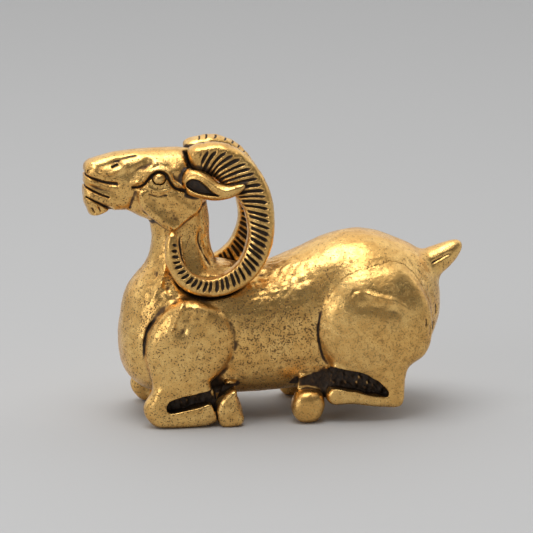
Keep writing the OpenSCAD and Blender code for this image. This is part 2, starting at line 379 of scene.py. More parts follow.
def hollowness(clay, metal, fine=0.28, broad=0.9):
    """How much each place is sunk below what is round it: about 0 on open skin and 1 in a groove.

    The fine and broad widths are the reach of the two comparisons."""
    in_groove = metal - clay.blur(metal, fine)
    in_hollow = metal - clay.blur(metal, broad)
    return (in_groove / fine * 2.6 + in_hollow / broad * 1.0).astype(np.float32)


# ---- Material ----
def brass(name, dark=0.0, pits=1.0):
    """Satin-polished brass with a dark patina in its hollows, and painted shade where its parts meet.

    dark adds patina all over, and pits is the strength of the casting pits."""
    material = bpy.data.materials.new(name)
    material.use_nodes = True
    nodes, links = material.node_tree.nodes, material.node_tree.links
    shader = nodes["Principled BSDF"]

    def add(kind, **values):
        node = nodes.new(kind)
        for key, value in values.items():
            if key in node.inputs:
                node.inputs[key].default_value = value
            else:
                setattr(node, key, value)
        return node

    def math_node(operation, first, second):
        node = nodes.new("ShaderNodeMath")
        node.operation = operation
        for socket, value in zip(node.inputs, (first, second)):
            if isinstance(value, (int, float)):
                socket.default_value = value
            else:
                links.new(value, socket)
        return node.outputs[0]

    def spread(value, low, high, start=0.0, end=1.0):
        node = add("ShaderNodeMapRange", interpolation_type="SMOOTHSTEP")
        links.new(value, node.inputs["Value"])
        for key, number in zip(("From Min", "From Max", "To Min", "To Max"), (low, high, start, end)):
            node.inputs[key].default_value = number
        return node.outputs[0]

    def blend(share, first, second):
        node = nodes.new("ShaderNodeMix")
        node.data_type = "RGBA"
        links.new(share, node.inputs["Factor"])
        for key, value in (("A", first), ("B", second)):
            socket = [s for s in node.inputs if s.name == key and s.type == "RGBA"][0]
            if isinstance(value, tuple):
                socket.default_value = (*value, 1)
            else:
                links.new(value, socket)
        return [s for s in node.outputs if s.type == "RGBA"][0]

    millimetres = nodes.new("ShaderNodeVectorMath")
    millimetres.operation = "SCALE"
    millimetres.inputs["Scale"].default_value = 1 / MM
    links.new(nodes.new("ShaderNodeTexCoord").outputs["Object"], millimetres.inputs[0])
    place = millimetres.outputs[0]

    def noise(scale, detail, roughness, seed):
        node = add("ShaderNodeTexNoise", noise_dimensions="4D")
        node.inputs["Scale"].default_value = scale
        node.inputs["Detail"].default_value = detail
        node.inputs["Roughness"].default_value = roughness
        node.inputs["W"].default_value = seed
        links.new(place, node.inputs["Vector"])
        return node.outputs["Fac"]

    def spots(scale, smallest, largest, share):
        """Round pits of mixed sizes, some cells without one: 1 in a pit."""
        node = add("ShaderNodeTexVoronoi", feature="F1")
        node.inputs["Scale"].default_value = scale
        links.new(place, node.inputs["Vector"])
        split = nodes.new("ShaderNodeSeparateColor")
        links.new(node.outputs["Color"], split.inputs[0])
        radius = spread(split.outputs[0], 1 - share, 1.0, 0.0, largest * scale)
        return spread(math_node("SUBTRACT", radius, node.outputs["Distance"]), 0.0, smallest * scale)

    def attribute(name):
        node = add("ShaderNodeAttribute")
        node.attribute_name = name
        return node.outputs["Fac"]

    cloud = noise(0.20, 2.0, 0.5, 3.0)
    mottle = noise(0.9, 4.0, 0.6, 7.0)
    grain = noise(2.6, 3.0, 0.65, 11.0)
    speck = noise(5.2, 1.0, 0.5, 17.0)

    # Pits: a few round ones, and fine specks that lie closer together where the skin is more pitted
    density = math_node("MULTIPLY", attribute("pitting"), spread(mottle, 0.35, 0.6, 0.45, 1.0))
    fine = math_node("ADD", speck, math_node("MULTIPLY", density, 0.15))
    round_pits = math_node("MAXIMUM", spots(1.15, 0.05, 0.24, 0.5), spots(2.4, 0.04, 0.15, 0.75))
    pit = math_node("MAXIMUM", math_node("MULTIPLY", round_pits, density), spread(fine, 0.67, 0.73))
    pit = math_node("MULTIPLY", pit, pits)

    # Patina and painted shade: brown at the edges of a hollow or a join, and nearly black within it
    uneven = math_node("MULTIPLY", math_node("SUBTRACT", math_node("ADD", mottle, grain), 1.0), 0.55)
    patina_and_shade_amount = math_node("ADD", math_node("ADD", attribute("patina_and_shade"), uneven), dark)
    black = spread(patina_and_shade_amount, 0.68, 1.05)
    brown = math_node("MAXIMUM", spread(patina_and_shade_amount, 0.25, 0.70), math_node("MULTIPLY", pit, 0.95))

    gold = blend(spread(cloud, 0.35, 0.65), (0.89, 0.53, 0.165), (0.96, 0.62, 0.220))
    gold = blend(spread(mottle, 0.35, 0.7, 0.0, 0.60), gold, (0.62, 0.33, 0.090))
    shade = blend(spread(grain, 0.3, 0.7), (0.014, 0.009, 0.006), (0.060, 0.034, 0.016))
    tarnish_and_shade_brown = blend(spread(grain, 0.3, 0.7), (0.11, 0.062, 0.035), (0.22, 0.125, 0.055))
    links.new(blend(black, blend(brown, gold, tarnish_and_shade_brown), shade), shader.inputs["Base Color"])
    links.new(spread(black, 0.0, 1.0, 1.0, 0.40), shader.inputs["Metallic"])
    rough = math_node("ADD", spread(mottle, 0.3, 0.75, 0.24, 0.37), math_node("MULTIPLY", brown, 0.16))
    links.new(rough, shader.inputs["Roughness"])

    height = math_node("SUBTRACT", math_node("MULTIPLY", grain, 0.9), math_node("MULTIPLY", pit, 0.8))
    height = math_node("ADD", height, math_node("MULTIPLY", mottle, 0.7))
    bump = nodes.new("ShaderNodeBump")
    bump.inputs["Strength"].default_value = 0.85
    bump.inputs["Distance"].default_value = 0.06 * MM
    links.new(height, bump.inputs["Height"])
    links.new(bump.outputs[0], shader.inputs["Normal"])
    return material


skin_brass = brass("brass_skin")
horn_brass = brass("brass_horn", dark=0.03, pits=0.5)
leg_brass = brass("brass_leg", dark=0.02)


def pick_material(node):
    """The brass of a node: less pitted on horns and ears, and a little darker there and on the legs."""
    if "horn" in node or "ear" in node:
        return horn_brass
    return leg_brass if node in LEGS else skin_brass


# ---- Trunk, neck, tail and legs ----
# Grooves and ridges of the flanks: points [x, z], depth (below 0 is a ridge), width, and where |y| they begin
FLANK_LINES = [
    # edges of the shoulder
    ([(-17.6, 16.1), (-18.8, 14.6), (-19.4, 12.9), (-19.65, 9.8)], 0.26, 0.15, 3.5),
    ([(-15.9, 18.2), (-18.0, 15.9), (-19.6, 12.0), (-19.6, 9.6)], 0.14, 0.42, 3.5),
    ([(-8.8, 17.3), (-7.3, 15.1), (-6.6, 12.2), (-7.0, 10.0), (-8.3, 7.8), (-10.4, 5.7)], 0.15, 0.50, 6.0),
    # the ridge down the front of the shoulder, the scoop behind it, and the swelling beyond
    ([(-13.4, 18.8), (-14.2, 18.2), (-14.9, 17.0), (-15.6, 15.4), (-16.5, 13.4)], -0.36, 0.34, 5.0),
    ([(-13.0, 18.0), (-13.3, 16.6), (-14.0, 15.0), (-15.0, 13.0)], 0.34, 0.80, 5.0),
    ([(-12.6, 18.2), (-10.6, 16.8)], -0.20, 0.70, 5.0),
    # front edge of the thigh
    ([(6.5, 18.6), (5.6, 16.0), (5.3, 14.1), (5.4, 12.1), (6.1, 9.4), (7.2, 8.0)], 0.15, 0.42, 6.0),
    ([(5.7, 16.6), (5.3, 14.1), (5.4, 12.1), (6.1, 9.5), (6.9, 8.3)], 0.20, 0.12, 6.0),
    # the ledge over the hip
    ([(11.2, 19.4), (13.9, 18.5), (15.9, 18.0), (17.5, 17.1), (18.6, 15.6)], -0.28, 0.36, 3.0),
    ([(9.0, 17.9), (13.0, 17.2), (15.6, 16.7), (17.2, 15.6), (18.0, 14.2)], 0.20, 1.10, 3.0),
    # the tail's groove, and the small curved scar
    ([(22.3, 21.4), (24.2, 22.2), (26.0, 23.0)], 0.26, 0.20, 0.9),
    ([(9.9, 18.6), (10.3, 19.3), (11.3, 19.5)], 0.16, 0.14, 7.0),
    # ridge and facet of the chest under the cheek
    ([(-16.2, 23.6), (-16.6, 21.4), (-17.4, 19.8), (-18.4, 18.0)], -0.26, 0.45, 2.5),
    ([(-15.1, 22.6), (-15.5, 20.8), (-16.2, 19.0)], 0.18, 0.60, 3.5),
    # panel and creases of the neck
    ([(-13.9, 27.4), (-14.0, 25.8), (-13.7, 23.6), (-13.2, 22.3)], 0.26, 0.20, 2.0),
    ([(-10.9, 28.0), (-11.3, 26.3), (-10.8, 24.6), (-9.4, 22.0)], 0.20, 0.20, 1.5),
    ([(-10.6, 31.6), (-10.4, 28.8), (-10.0, 26.0), (-9.2, 24.0), (-7.6, 22.6)], -0.24, 0.30, 0.6),
    # the bright lower lips of the hollows in the legs
    ([(-16.4, 2.1), (-14.7, 2.2), (-13.1, 2.45), (-11.3, 2.95), (-10.0, 3.0)], -0.14, 0.24, 8.0),
    ([(6.9, 4.9), (8.9, 4.75), (10.8, 4.35), (13.0, 3.8), (15.1, 3.1)], -0.14, 0.24, 8.0),
]
# Short upright scratches: x, and the z of the lower and upper end
RUMP_SCRATCHES = [
    (20.6, 13.6, 15.4), (21.3, 12.0, 14.4), (21.9, 12.8, 15.6), (22.5, 11.4, 14.0), (22.9, 14.0, 16.4)]

# The outer face of a folded leg, as an outline [x, z]
LEG_FACES = [
    [(-18.4, 5.4), (-18.9, 2.3), (-17.6, 1.0), (-12.0, 0.8), (-10.4, 1.1), (-9.7, 2.0), (-9.7, 4.6),
     (-10.4, 6.2), (-13.0, 7.2), (-16.2, 6.8)],
    [(17.4, 7.0), (17.9, 4.5), (17.8, 2.4), (17.0, 1.8), (14.6, 2.1), (12.4, 2.6), (10.2, 2.6), (7.8, 2.4),
     (6.9, 2.8), (6.5, 3.8), (6.6, 4.7), (7.0, 5.2), (7.4, 8.6), (12.0, 8.6), (15.5, 7.6)],
]
# The outline of a hoof, and the rounding of its edges
HOOVES = [
    ([(-9.5, 2.2), (-9.3, 3.2), (-8.9, 4.0), (-8.0, 4.9), (-7.1, 5.4), (-6.5, 5.2), (-6.3, 4.0), (-5.8, 2.2),
      (-5.4, 1.3), (-5.7, 0.3), (-6.8, -0.1), (-8.4, -0.1), (-9.2, 0.7)], 1.0),
    ([(1.4, 2.2), (1.6, 3.3), (2.1, 4.2), (3.1, 4.75), (4.3, 4.85), (5.6, 4.5), (6.2, 3.6), (6.4, 2.4),
      (5.9, 1.0), (5.1, 0.2), (4.0, -0.1), (2.7, 0.1), (1.8, 1.0)], 1.5),
]
# The dark hollow in the outer face of a leg, which runs on over the top of its hoof
LEG_HOLLOWS = [
    [(-16.6, 3.0), (-16.2, 4.0), (-15.0, 4.5), (-13.7, 4.8), (-12.2, 5.1), (-10.6, 5.4), (-9.8, 5.7),
     (-8.2, 5.9), (-8.0, 6.0), (-6.6, 6.1), (-5.9, 5.7), (-6.5, 5.5), (-7.1, 5.6), (-8.1, 5.0),
     (-9.1, 4.1), (-9.5, 3.1), (-9.7, 2.3), (-10.0, 3.1), (-10.4, 3.4), (-11.6, 3.2), (-13.7, 2.7),
     (-15.6, 2.3), (-16.4, 2.4)],
    [(6.2, 7.3), (7.3, 8.1), (8.6, 7.95), (10.8, 7.4), (13.0, 6.5), (14.6, 5.3), (15.4, 4.2), (15.0, 3.6),
     (13.0, 4.0), (10.8, 4.55), (8.6, 5.0), (7.1, 5.1), (6.6, 4.6), (6.5, 3.5), (6.3, 4.5), (5.7, 4.9),
     (4.3, 5.2), (3.1, 5.1), (2.1, 4.7), (1.6, 4.9), (2.2, 5.9), (3.5, 6.6), (5.1, 6.8)],
]
# Where the metal over a hoof is cut back to a floor
OVER_HOOVES = [[(-9.2, 4.7), (-9.0, 5.4), (-7.6, 5.8), (-6.0, 5.7), (-5.5, 5.2), (-5.4, 4.7)],
               [(1.2, 4.7), (1.8, 5.4), (3.2, 6.3), (5.0, 6.9), (6.8, 7.2), (6.8, 4.7)]]
# The dark wall between a hind hoof and its leg
HIND_GAP = [(5.0, 3.2), (5.0, 7.6), (7.8, 7.6), (7.8, 3.2)]
# |y| of the inner and outer sides of the leg plates and hoof plates, and of the floors of the cut hollows
FACE_INNER, FACE_OUTER = 6.4, 9.2
HOOF_INNER, HOOF_OUTER = 5.8, 9.5
HOLLOW_FLOOR, OVER_HOOF_FLOOR = 7.1, 6.8


def mould_trunk(clay, parts):
    """The plain smooth form of the trunk and legs, before any line is cut."""
    metal = clay.one_skin(parts.nearest - 0.02, reach=1.8)
    out = np.abs(clay.y)
    for outline in LEG_FACES:
        metal = np.minimum(metal, plate(clay, outline, FACE_INNER, FACE_OUTER, 0.5))
    metal = np.minimum(metal, plate(clay, HIND_GAP, FACE_INNER - 1.5, FACE_INNER + 0.2, 0.2))
    for outline in OVER_HOOVES:
        cut = np.maximum(outline_distance(clay, outline)[:, None, :], OVER_HOOF_FLOOR - out)
        metal = np.maximum(metal, -cut)

    # A broad smoothing on the trunk, and a lighter one on the hooves; broadest at the tail and over the hip
    torso, tail = parts.distance("torso"), parts.distance("tail")
    hooves = np.minimum.reduce([parts.distance(name) for name in LEGS if "hoof" in name])
    thighs = np.minimum(*(parts.distance(f"rear_{side}_upper_leg") for side in SIDES))
    broad, light = clay.blur(metal, 0.40), clay.blur(metal, 0.20)
    metal = light + (broad - light) * ramp(hooves, -0.2, 0.8)
    at_hip = crease(thighs, torso, 1.0, 1.5)
    at_hip *= np.maximum(ramp(clay.x, 10.0, 15.0), ramp(clay.z, 18.0, 20.0)) * ramp(clay.z, 8.0, 10.0)
    at_tail = crease(tail, torso, 1.0, 1.3)
    metal += (clay.blur(metal, 0.9) - metal) * np.maximum(at_tail, at_hip)
    for outline, rounding in HOOVES:
        metal = np.minimum(metal, plate(clay, outline, HOOF_INNER, HOOF_OUTER, rounding))
    return metal


def model_body():
    """The trunk, neck, tail and legs."""
    clay = Clay((-23.6, -11.3, -0.6), (29.0, 11.3, 33.2), BODY_STEP)
    parts = Partition(clay, BODY_PIECES + ["head", "lower_jaw"], reach=1.6)
    metal = mould_trunk(clay, parts)
    out = np.abs(clay.y)

    # The skin is hammered behind the horn and in front of it
    crumpled = region(clay.x, clay.z, (-2.0, 20.5), (6.0, 3.2))
    crumpled = crumpled + region(clay.x, clay.z, (-17.0, 20.5), (3.0, 4.0))
    metal += 0.022 * clay.waves(5, 3.0, 6.0) * ramp(clay.z, 5.0, 8.0)
    metal += (0.006 + 0.030 * crumpled) * clay.waves(6, 0.6, 1.7)

    uneven = 1 + 0.15 * clay.waves(8, 1.2, 3.0, 14)
    for points, depth, width, start in FLANK_LINES:
        metal += flanks(clay, stroke(clay, points, depth, width, fade=0.25), start) * uneven
    for x, bottom, top in RUMP_SCRATCHES:
        bow = [(x, top), (x + 0.25, (top + bottom) / 2), (x, bottom)]
        scratch = stroke(clay, bow, 0.20, 0.16, fade=0.3)
        metal += flanks(clay, scratch, 2.0)

    # The leg hollows, cut to a rough floor, and the creases where a folded leg meets its hoof; where it meets
    # the trunk, painted shade
    patina_and_shade = np.zeros(clay.shape, np.float32)
    rough_floor = HOLLOW_FLOOR + 0.08 * clay.waves(31, 0.7, 2.2, 12)
    for outline in LEG_HOLLOWS:
        hollow = outline_distance(clay, outline)[:, None, :] + 0.3 * (uneven - 1)
        metal = np.maximum(metal, -np.maximum(hollow, rough_floor - out))
        patina_and_shade += 1.3 * ramp(hollow, 0.20, -0.05) * ramp(out, 9.0, 8.6) * ramp(out, 4.6, 5.3)
    for end in ENDS:
        for side in SIDES:
            hoof, cannon = parts.distance(f"{end}_{side}_hoof"), parts.distance(f"{end}_{side}_cannon")
            metal += crease(cannon, hoof, 0.25, 0.20)
            # Painted shade where a folded leg tucks under the trunk
            patina_and_shade += crease(cannon, parts.distance("torso"), 0.8, 0.7)
    beside_horn = np.minimum(*(clay.to_node(name, 1.6) for name in HORNS))
    metal += 0.30 * near(beside_horn, 0.30)

    metal = np.maximum(metal, -clay.z)  # the feet stand flat on the table
    # Painted shade on the neck and trunk where they meet the head
    patina_and_shade += 0.9 * near(parts.distance("head"), 0.35)
    # Patina in the hollows, and painted shade round the foot of each horn
    patina_and_shade += hollowness(clay, metal) + 1.3 * outside_near(beside_horn, 0.65)
    for name in BODY_PIECES:
        parts.cut(name, metal, patina_and_shade)


# ---- Head ----
# Lines of the head: points [x, z], depth (below 0 is a ridge), width at the start and at the end, and |y|
HEAD_LINES = [
    # mouth: the line of the upper lip with its raised lower bank, the mouth, and the crease of the chin
    ([(-27.7, 36.15), (-26.2, 35.45), (-24.6, 34.9), (-22.9, 34.65)], 0.40, 0.12, 0.32, 0.2),
    ([(-26.6, 34.8), (-25.0, 34.25), (-23.2, 33.95)], -0.14, 0.24, 0.30, 0.6),
    ([(-27.0, 36.1), (-26.8, 36.6)], 0.20, 0.12, 0.10, 0.6),
    ([(-27.7, 34.45), (-26.6, 33.8), (-25.1, 33.1), (-24.0, 32.7)], 0.34, 0.13, 0.15, 0.2),
    ([(-27.1, 32.7), (-25.5, 31.9), (-24.6, 31.4), (-23.6, 30.8)], 0.40, 0.10, 0.28, 0.3),
    ([(-26.3, 31.0), (-25.9, 30.3)], 0.16, 0.12, 0.10, 0.5),
    ([(-25.4, 31.2), (-25.1, 30.5)], 0.16, 0.12, 0.10, 0.5),
    # nostril, with the rim under it, and the long shallow facet below
    ([(-25.3, 36.9), (-24.2, 37.2), (-22.6, 37.6)], 0.22, 0.60, 0.40, 1.0),
    ([(-22.9, 37.75), (-21.3, 38.2), (-20.0, 38.45)], 0.16, 0.26, 0.10, 1.0),
    ([(-25.9, 36.8), (-25.4, 36.1), (-23.8, 36.2), (-22.3, 36.8), (-21.6, 37.4)], -0.16, 0.24, 0.18, 1.2),
    ([(-23.4, 37.0), (-22.7, 37.3)], 0.34, 0.14, 0.14, 1.2),
    ([(-25.3, 35.6), (-23.1, 35.7), (-21.0, 36.3), (-18.0, 37.3)], 0.18, 0.50, 0.50, 1.6),
    # brow
    ([(-20.2, 35.0), (-19.2, 35.9), (-18.3, 36.8), (-17.3, 37.5)], -0.22, 0.28, 0.26, 2.0),
    ([(-21.0, 35.5), (-19.7, 36.8), (-18.4, 37.9)], 0.10, 0.50, 0.45, 2.0),
    # lids and the dark outline of the eye
    ([(-20.6, 34.85), (-19.3, 35.2), (-18.2, 36.3), (-16.9, 36.8), (-15.6, 36.35), (-14.9, 35.0),
      (-13.3, 34.2)], -0.28, 0.26, 0.28, 2.2),
    ([(-20.6, 34.15), (-19.4, 34.35), (-18.5, 35.2), (-17.7, 36.05), (-16.85, 36.35), (-15.9, 35.95),
      (-15.3, 34.8), (-14.6, 34.0), (-13.3, 33.6)], 0.40, 0.17, 0.20, 2.2),
    ([(-18.5, 34.3), (-17.6, 33.8), (-16.7, 33.6), (-15.5, 33.9)], -0.22, 0.24, 0.24, 2.6),
    ([(-18.4, 33.3), (-17.2, 32.9), (-15.9, 33.0)], 0.14, 0.16, 0.14, 2.6),
    ([(-14.6, 36.7), (-14.4, 36.6)], -0.20, 0.60, 0.60, 2.0),
    # muzzle crease, the facets of the cheek, and the crease under the jaw
    ([(-20.3, 33.6), (-20.6, 32.6), (-20.9, 31.1)], 0.20, 0.40, 0.34, 1.6),
    ([(-19.3, 33.0), (-18.8, 31.7), (-17.6, 30.4), (-16.3, 29.2), (-15.1, 28.3)], -0.14, 0.40, 0.40, 1.6),
    ([(-17.6, 32.4), (-16.0, 31.0), (-14.6, 29.8)], 0.28, 0.90, 0.80, 2.2),
    ([(-14.4, 32.2), (-13.0, 31.2), (-12.0, 30.6)], -0.18, 0.50, 0.50, 2.2),
]
CHEEK = [(-19.9, 33.6), (-19.6, 31.8), (-18.5, 30.3), (-17.2, 29.1), (-15.9, 28.1), (-15.1, 27.6),
         (-14.4, 28.0), (-13.0, 29.3), (-11.7, 30.2), (-10.8, 31.6), (-11.0, 33.2), (-13.0, 33.9),
         (-16.0, 33.0), (-18.4, 33.8)]
CHEEK_OUTER = 4.0  # |y|
JAW_TOP = 31.5
EYE_CENTRE = (-16.85, 3.10, 35.3)
EYE_RADII = (1.08, 1.08, 0.98)
SOCKET_GAP = 0.07  # half the width of the groove round the eyeball
MUZZLE = [(-26.4, 37.8), (-27.2, 36.6), (-27.35, 34.8), (-27.4, 33.2), (-27.1, 31.4), (-26.6, 30.2),
          (-26.0, 29.7), (-25.0, 30.0), (-23.8, 30.6), (-22.4, 31.0), (-22.0, 34.0), (-23.0, 37.0)]


def model_head():
    """The skull, lower jaw, beard and eyes."""
    clay = Clay((-28.2, -4.9, 26.6), (-8.2, 4.9, 40.2), HEAD_STEP)
    parts = Partition(clay, HEAD_PIECES + ["neck", "left_ear", "right_ear"], reach=1.4)
    metal = clay.one_skin(parts.nearest - 0.02, reach=1.5)
    # The muzzle's blunt front, narrowing towards the lips
    half_muzzle = 1.3 + 0.9 * ramp(clay.x, -27.4, -24.0) + 0.3 * ramp(clay.z, 31.0, 35.0)
    muzzle = np.maximum(outline_distance(clay, MUZZLE)[:, None, :], np.abs(clay.y) - half_muzzle)
    metal = clay.blur(np.minimum(metal, muzzle), 0.26)
    metal += 0.02 * clay.waves(15, 1.8, 4.0)

    # Smooth union with the cheeks, whose lower corners overhang the neck
    cheeks = plate(clay, CHEEK, 0.0, CHEEK_OUTER, 0.45)
    merge = np.clip(0.5 + (cheeks - metal) / 0.8, 0, 1)
    metal = cheeks + (metal - cheeks) * merge - 0.4 * merge * (1 - merge)
    metal += 0.02 * clay.waves(16, 0.8, 1.8) * ramp(clay.x, -22.0, -19.0) * ramp(clay.z, 34.0, 32.5)
    for points, depth, width, end_width, start in HEAD_LINES:
        metal += flanks(clay, stroke(clay, points, depth, width, end_width), start, soft=0.4)

    # The eyeball stands in a socket between the lids
    from_eye = [(place - centre) / radius
                for place, centre, radius in zip((clay.x, np.abs(clay.y), clay.z), EYE_CENTRE, EYE_RADII)]
    ball = np.sqrt(from_eye[0] ** 2 + from_eye[1] ** 2 + from_eye[2] ** 2) * 1.02 - 1.02
    socket = np.abs(ball - SOCKET_GAP) - SOCKET_GAP
    metal = np.maximum(metal, -socket - 2.0 * (np.abs(clay.y) < 3.5))
    metal = np.minimum(metal, ball)

    beside_horn = np.minimum(*(clay.to_node(name, 1.4) for name in HORNS))
    metal += 0.55 * near(beside_horn, 0.42)
    # Patina in the hollows, and painted shade round the foot of each horn
    patina_and_shade = hollowness(clay, metal, 0.2, 0.6) + 1.4 * outside_near(beside_horn, 0.75)
    ears = np.minimum(*(parts.distance(f"{side}_ear") for side in SIDES))
    # Painted shade on the head round the foot of each ear
    patina_and_shade += 1.1 * outside_near(ears, 0.40)
    # Painted shade under the jaw where it meets the neck
    patina_and_shade += 0.9 * near(parts.distance("neck"), 0.25) * (clay.z < JAW_TOP)
    for name in HEAD_PIECES:
        parts.cut(name, metal, patina_and_shade, margin=0.5)


# ---- Ears ----
EAR_HOLLOW = [(-13.2, 34.9), (-12.5, 35.55), (-11.4, 35.45), (-10.5, 34.8), (-9.6, 33.9), (-8.6, 33.25),
              (-9.9, 33.2), (-11.8, 33.5), (-13.0, 34.2)]
EAR_RIM = [(-13.6, 35.2), (-12.7, 36.3), (-11.4, 36.2), (-10.1, 35.4), (-9.0, 34.5), (-7.8, 34.0),
           (-6.6, 34.3)]
EAR_WALL = 0.35  # the metal added behind the hollow


def model_ears():
    """The left ear, worked as clay, and its mirror image."""
    low, high = (np.array(corner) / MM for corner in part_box("left_ear"))
    clay = Clay(low - 0.6, high + 0.6, EAR_STEP)
    metal = clay.to_node("left_ear", 1.4)
    metal = np.minimum(metal, np.roll(metal, round(EAR_WALL / EAR_STEP), axis=1))
    metal = clay.blur(metal, 0.14)
    hollow = outline_distance(clay, EAR_HOLLOW)[:, None, :]
    middle = np.interp(clay.x, (-13.5, -9.3, -7.3), (-3.9, -5.5, -6.2)).astype(np.float32)
    outer_side = ramp(clay.y - middle, 0.2, -0.4)
    metal += stroke(clay, EAR_RIM, -0.18, 0.34)[:, None, :] * outer_side
    metal += 0.95 * ramp(hollow, 0.08, -0.40) * outer_side
    patina_and_shade = hollowness(clay, metal, 0.2, 0.6) + 1.6 * ramp(hollow, 0.1, -0.15) * outer_side
    points, quads = clay.skin(metal)
    points, quads = largest_part(points, quads)
    normals = clay.slope(metal, points)
    shade = clay.sample(patina_and_shade, points)
    for side, flip in (("left", 1), ("right", -1)):
        turn = np.array([1, flip, 1])
        add_piece(f"brass_{side}_ear", f"{side}_ear", points * turn, quads, shade, normals * turn)


# ---- Horns ----
# Stations of a horn: x, share of the spread, z, half width in the plane of the curl, and share of the half
# thickness. They follow the CAD's, except that the last three make a slimmer tip.
HORN_SPREAD = 6.4
HORN_HALF_THICKNESS = 2.1
HORN_ARC = [
    (-12.4, 0.42, 37.4, 1.8, 0.90), (-10.9, 0.42, 37.9, 2.2, 1.00), (-8.3, 0.47, 37.7, 2.6, 1.00),
    (-5.8, 0.56, 36.1, 2.75, 0.96), (-3.5, 0.66, 33.1, 2.35, 0.92), (-2.6, 0.76, 29.7, 2.02, 0.88),
    (-2.8, 0.86, 26.2, 1.85, 0.84), (-4.4, 0.94, 22.8, 1.7, 0.80), (-7.2, 0.99, 20.7, 1.5, 0.74),
    (-10.4, 1.00, 20.0, 1.35, 0.68), (-13.3, 0.98, 21.1, 1.3, 0.62), (-15.0, 0.95, 23.5, 1.15, 0.56),
    (-15.4, 0.92, 25.8, 1.00, 0.50), (-15.3, 0.89, 27.2, 0.75, 0.40), (-15.2, 0.87, 28.1, 0.4, 0.24)]
HORN_POWER = 2.8  # 2 is an oval section, and more is squarer
ROOT_ROUNDING, TIP_ROUNDING = 0.9, 0.6
RING_PITCH = 0.86
RING_DEPTH = 0.34
NICK_DEPTH = 0.22
RIM_BAND = 0.85  # the smooth band along the outer rim


def gap_to_body(points):
    """The distance from points of the left horn to the nearest other piece, as far as a millimetre or so."""
    clay = Clay(points.min(axis=0) - 0.5, points.max(axis=0) + 0.5, 0.25)
    others = ("left_ear", "head", "neck", "torso", "front_left_upper_leg")
    return clay.sample(np.minimum.reduce([clay.to_node(name, 1.5) for name in others]), points)


def horn_path(rings):
    """Equal steps along the middle of the left horn: the place along it, and the station there."""
    arc = smooth_line(HORN_ARC, cuts=60)
    lengths = np.concatenate([[0], np.cumsum(np.linalg.norm(np.diff(arc[:, (0, 2)], axis=0), axis=1))])
    at = np.linspace(0, lengths[-1], rings)
    return at, np.stack([np.interp(at, lengths, arc[:, k]) for k in range(5)], axis=1)


def horn_section(sides):
    """A squarish oval cut into equal steps round its girth: u and v run from -1 to 1."""
    turn = np.linspace(0, 2 * math.pi, 721)
    u, v = (np.sign(f(turn)) * np.abs(f(turn)) ** (2 / HORN_POWER) for f in (np.cos, np.sin))
    outline = np.stack([u, v], axis=1)
    girth = np.concatenate([[0], np.cumsum(np.linalg.norm(np.diff(outline, axis=0), axis=1))])
    steps = np.linspace(0, girth[-1], sides, endpoint=False)
    return (np.interp(steps, girth, outline[:, k])[None, :] for k in range(2))


def horn_rings(at, u, v, wide):
    """How deep the grooves, the nicks in the outer rim and the panel between the rims are at each point.

    u is 1 at the outer rim and -1 at the inner rim; v is 1 on the face towards the body."""
    reach = u * wide[:, None]
    from_rim, from_inner = wide[:, None] - reach, wide[:, None] + reach
    face = ramp(np.abs(v), 0.45, 0.8)
    slant = 0.35 + 0.55 * ramp(at, 26.0, 4.0)
    phase = (at[:, None] - slant[:, None] * reach * 0.6) / RING_PITCH
    number = np.round(phase).astype(int)
    number -= number.min()
    rng = np.random.default_rng(41)
    shift, girth_of, strength = (rng.uniform(low, high, number.max() + 1)[number]
                                 for low, high in ((-0.09, 0.09), (0.85, 1.2), (0.75, 1.1)))
    off_groove = np.abs(phase - np.round(phase) + shift) * RING_PITCH
    open_rim = ramp(from_rim, RIM_BAND * 0.75, RIM_BAND + 0.55)
    open_inner = ramp(from_inner, 0.12, 0.42)
    half_groove = (0.10 + 0.17 * open_rim) * girth_of
    groove = np.clip(1 - (off_groove / half_groove) ** 2, 0, 1) * np.minimum(open_rim * 1.3, 1) * open_inner
    groove *= strength
    whole = ramp(at, 1.2, 2.0) * ramp(at[-1] - at, 0.8, 2.0)
    groove *= whole[:, None] * face
    crest = ramp(u, 0.75, 0.95) * ramp(np.abs(v), 0.75, 0.5) * ramp(v, -0.2, 0.2)
    nick = np.clip(1 - (off_groove / 0.11) ** 2, 0, 1) * crest * whole[:, None]
    return groove, nick, 0.10 * open_rim * open_inner * face


def tube_quads(rings, sides):
    """The quads of a tube, each end closed by a flat cap across its small last ring."""
    k = np.arange(sides)
    after = (k + 1) % sides
    ring = np.arange(rings - 1)[:, None] * sides
    quads = np.stack([ring + k, ring + after, ring + sides + after, ring + sides + k], axis=2).reshape(-1, 4)
    caps = []
    for first, flip in ((0, 1), ((rings - 1) * sides, -1)):
        for step in range(sides // 2 - 1):
            other = sides - step - 2
            corner = [first + step, first + step + 1, first + other, first + (other + 1) % sides]
            caps.append(corner[::flip])
    return np.vstack([quads, np.array(caps)[:, ::-1]])


